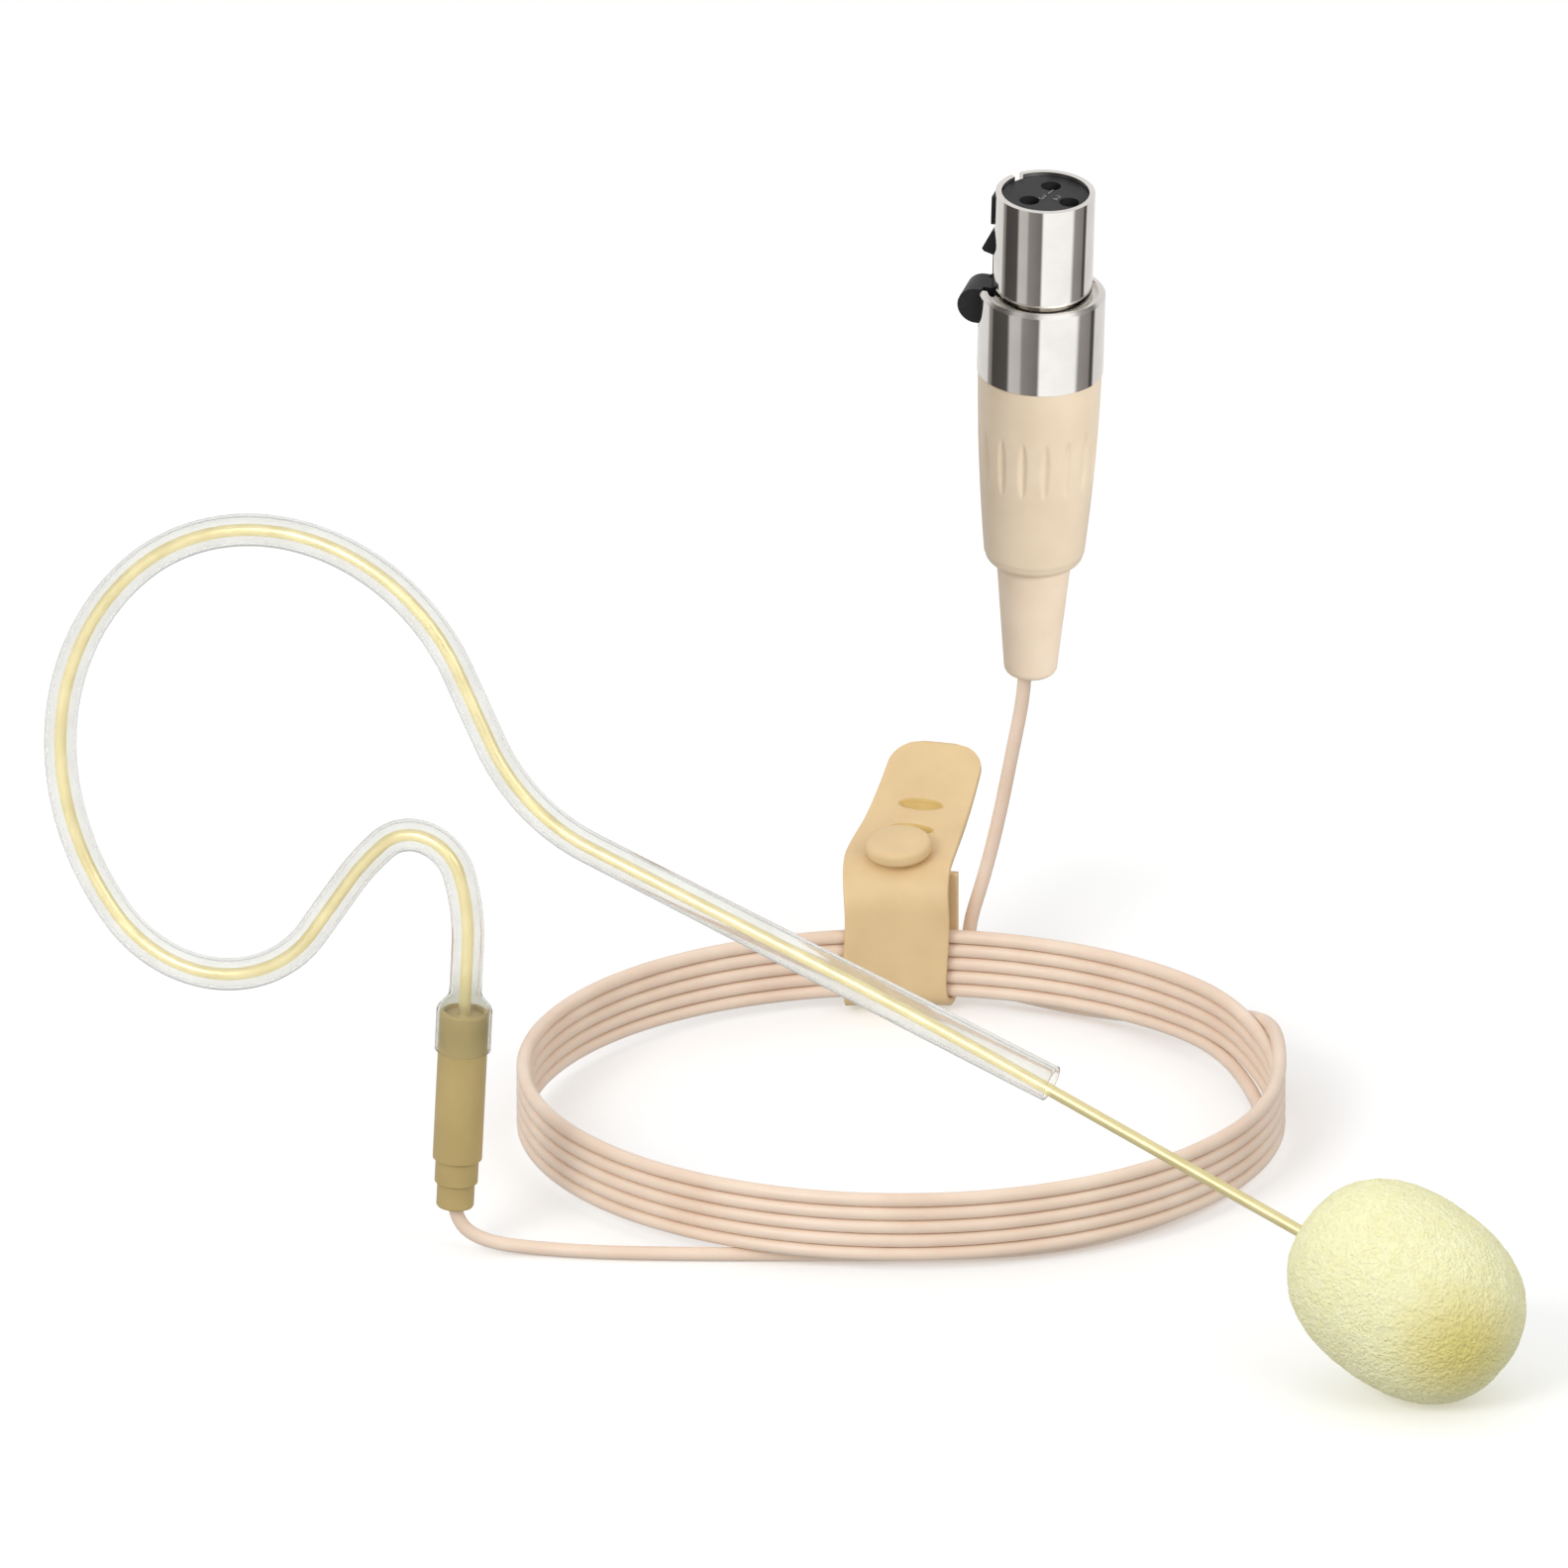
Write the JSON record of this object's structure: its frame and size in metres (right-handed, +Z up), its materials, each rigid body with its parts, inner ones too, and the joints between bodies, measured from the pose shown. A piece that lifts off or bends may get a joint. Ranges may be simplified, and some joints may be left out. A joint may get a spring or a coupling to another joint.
{
  "type": "headset microphone",
  "caption": "Single-ear headset microphone with a foam windscreen, bendable boom, clear-sleeved ear hook, coiled cord, buttoned tie and a latching pin plug.",
  "frame": {"origin": "middle of the headset's bounding box (cord, tie and plug left out), on the floor under it", "axes": "+X from the ear loop to the windscreen, along the headset; +Y from the headset to the coiled cord, square to the ear loop's plane; +Z up"},
  "size_m": [0.1413, 0.0967, 0.0804],
  "materials": {
    "silicone_clear": "clear silicone rubber, satin",
    "boom_metal": "polished pale brass",
    "lead_copper": "enamelled copper",
    "grille_steel": "fine woven mesh",
    "capsule_gold": "gold flashed",
    "capsule_insulator": "moulded",
    "circuit_board": "solder mask",
    "transistor_black": "moulded",
    "tan_plastic": "smooth moulded, satin",
    "brass_inner": "drawn",
    "cord_jacket": "soft thermoplastic jacket",
    "foam_yellow": "open-cell foam",
    "tie_silicone": "smooth silicone rubber",
    "plug_chrome": "mirror-bright plating",
    "black_plastic": "moulded",
    "contact_gold": "gold plated",
    "latch_steel": "bright",
    "cream_plastic": "fine satin",
    "cream_rubber": "soft satin",
    "clamp_grey": "moulded",
    "wire_red": "insulation",
    "wire_white": "insulation"
  },
  "bodies": {
    "headset": {"ear_hook_sleeve": "silicone_clear", "ear_hook_tube": "boom_metal", "ear_hook_lead": "lead_copper", "splice_barrel": "tan_plastic", "barrel_ferrule": "brass_inner", "splice_crimp": "brass_inner", "barrel_bush": "tan_plastic", "cord_gland": "tan_plastic", "gland_jacket_end": "cord_jacket", "cord_headset_lead": "cord_jacket", "cord_plug_lead": "cord_jacket", "cord_coil": "cord_jacket", "plug_nose": "plug_chrome", "plug_collar": "plug_chrome", "plug_insert": "black_plastic", "contact_1": "contact_gold", "contact_2": "contact_gold", "contact_3": "contact_gold", "conductor_1": "lead_copper", "conductor_2": "wire_red", "conductor_3": "wire_white", "latch_pin": "latch_steel", "latch_spring": "latch_steel", "plug_handle": "cream_plastic", "plug_boot": "cream_rubber", "cable_clamp": "clamp_grey", "plug_jacket_end": "cord_jacket"},
    "boom": {"boom_sleeve": "silicone_clear", "boom_tube": "boom_metal", "boom_lead": "lead_copper", "capsule_can": "boom_metal", "capsule_grille": "grille_steel", "capsule_diaphragm": "capsule_gold", "capsule_backplate": "capsule_gold", "capsule_spacer": "capsule_insulator", "capsule_board": "circuit_board", "capsule_transistor": "transistor_black", "capsule_holder": "capsule_insulator"},
    "windscreen": {"foam_windscreen": "foam_yellow"},
    "tie": {"cable_tie": "tie_silicone"},
    "latch": {"latch_lever": "black_plastic"}
  },
  "joints": [
    {"name": "boom_bend", "type": "hinge", "parent": "headset", "child": "boom", "pos_m": [-0.02422, 0, 0.04359], "axis": [0, -1, 0], "range_deg": [0, 30]},
    {"name": "windscreen_pull", "type": "slide", "parent": "boom", "child": "windscreen", "axis": [0.9245, 0, -0.3811], "range_m": [0, 0.015]},
    {"name": "tie_slide", "type": "hinge", "parent": "headset", "child": "tie", "pos_m": [-0.0061, 0.0416, 0], "axis": [0, 0, 1], "range_deg": [0, 35]},
    {"name": "latch_press", "type": "hinge", "parent": "headset", "child": "latch", "pos_m": [-0.00996, 0.07313, 0.0647], "axis": [-0.1333, 0.9859, 0.1016], "range_deg": [0, 5.9], "stiffness_Nm_per_rad": 0.02, "springref_deg": -5.73}
  ]
}
